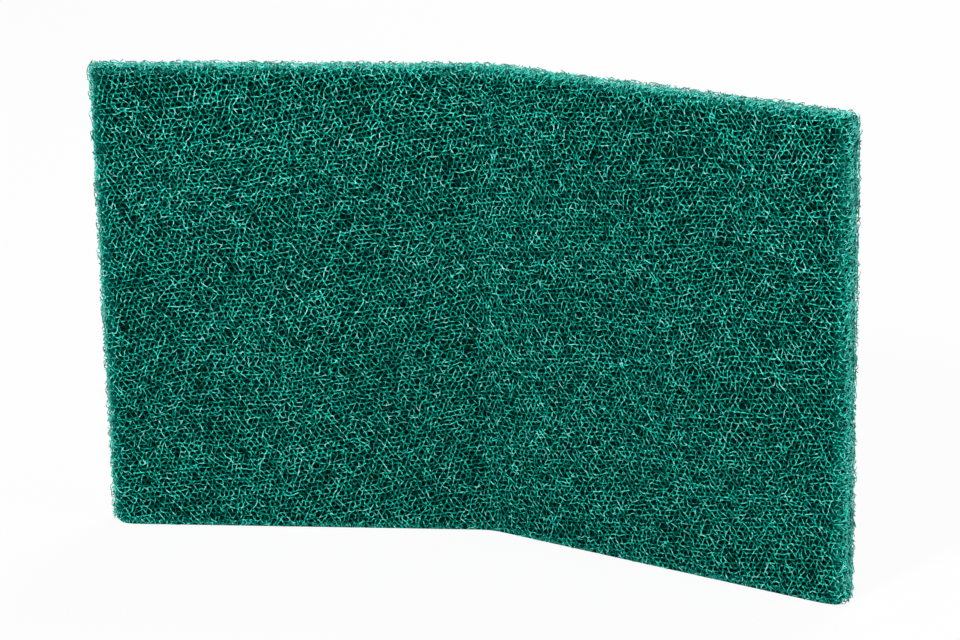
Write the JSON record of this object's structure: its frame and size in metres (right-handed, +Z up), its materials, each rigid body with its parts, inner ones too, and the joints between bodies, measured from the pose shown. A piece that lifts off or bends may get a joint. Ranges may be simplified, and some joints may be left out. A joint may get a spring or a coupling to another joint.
{
  "type": "scouring pad",
  "caption": "Thin rectangular scouring pad of stiff open fibre web, bent along an upright fold so that it stands on a long edge; for scrubbing dishes and pans.",
  "frame": {"origin": "middle of the bent pad's plan, on the surface it stands on", "axes": "+X along the pad from its left end to its right end as seen from the hollow side of the fold, +Y away from the hollow side, +Z up"},
  "size_m": [0.1472, 0.0235, 0.091],
  "materials": {
    "fibre_web": "open web of resin-coated fibres, matt with small glints"
  },
  "bodies": {
    "root": {"scouring_pad": "fibre_web"}
  },
  "joints": []
}
